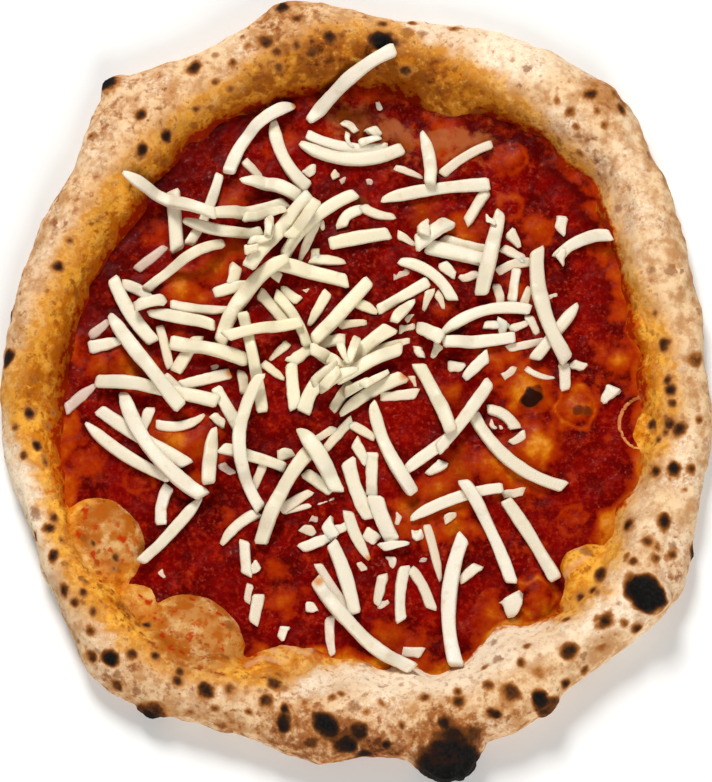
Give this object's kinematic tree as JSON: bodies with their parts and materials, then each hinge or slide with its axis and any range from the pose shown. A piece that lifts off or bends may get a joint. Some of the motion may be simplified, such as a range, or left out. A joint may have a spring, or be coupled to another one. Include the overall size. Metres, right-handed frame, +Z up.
{
  "type": "margherita pizza",
  "caption": "Oval Neapolitan-style pizza with a puffed, charred rim, tomato sauce and long shreds of white cheese.",
  "frame": {"origin": "middle of the crust's outline, on the surface that the pizza rests on", "axes": "+Z up out of the topping; +Y along the longer way across the pizza; X across it"},
  "size_m": [0.2616, 0.2926, 0.0252],
  "materials": {
    "crust": "baked dough, dry and floury outside, oily and golden inside, with charred blisters",
    "sauce": "wet crushed tomato",
    "cheese": "moist cream-white mozzarella"
  },
  "bodies": {
    "root": {"crust": "crust", "sauce": "sauce", "shred_01": "cheese", "shred_02": "cheese", "shred_03": "cheese", "shred_04": "cheese", "shred_05": "cheese", "shred_06": "cheese", "shred_07": "cheese", "shred_08": "cheese", "shred_09": "cheese", "shred_10": "cheese", "shred_11": "cheese", "shred_12": "cheese", "shred_13": "cheese", "shred_14": "cheese", "shred_15": "cheese", "shred_16": "cheese", "shred_17": "cheese", "shred_18": "cheese", "shred_19": "cheese", "shred_20": "cheese", "shred_21": "cheese", "shred_22": "cheese", "shred_23": "cheese", "shred_24": "cheese", "shred_25": "cheese", "shred_26": "cheese", "shred_27": "cheese", "shred_28": "cheese", "shred_29": "cheese", "shred_30": "cheese", "shred_31": "cheese", "shred_32": "cheese", "shred_33": "cheese", "shred_34": "cheese", "shred_35": "cheese", "shred_36": "cheese", "shred_37": "cheese", "shred_38": "cheese", "shred_39": "cheese", "shred_40": "cheese", "shred_41": "cheese", "shred_42": "cheese", "shred_43": "cheese", "shred_44": "cheese", "shred_45": "cheese", "shred_46": "cheese", "shred_47": "cheese", "shred_48": "cheese", "shred_49": "cheese", "shred_50": "cheese", "shred_51": "cheese", "shred_52": "cheese", "shred_53": "cheese", "shred_54": "cheese", "shred_55": "cheese", "shred_56": "cheese", "shred_57": "cheese", "shred_58": "cheese"}
  },
  "joints": []
}
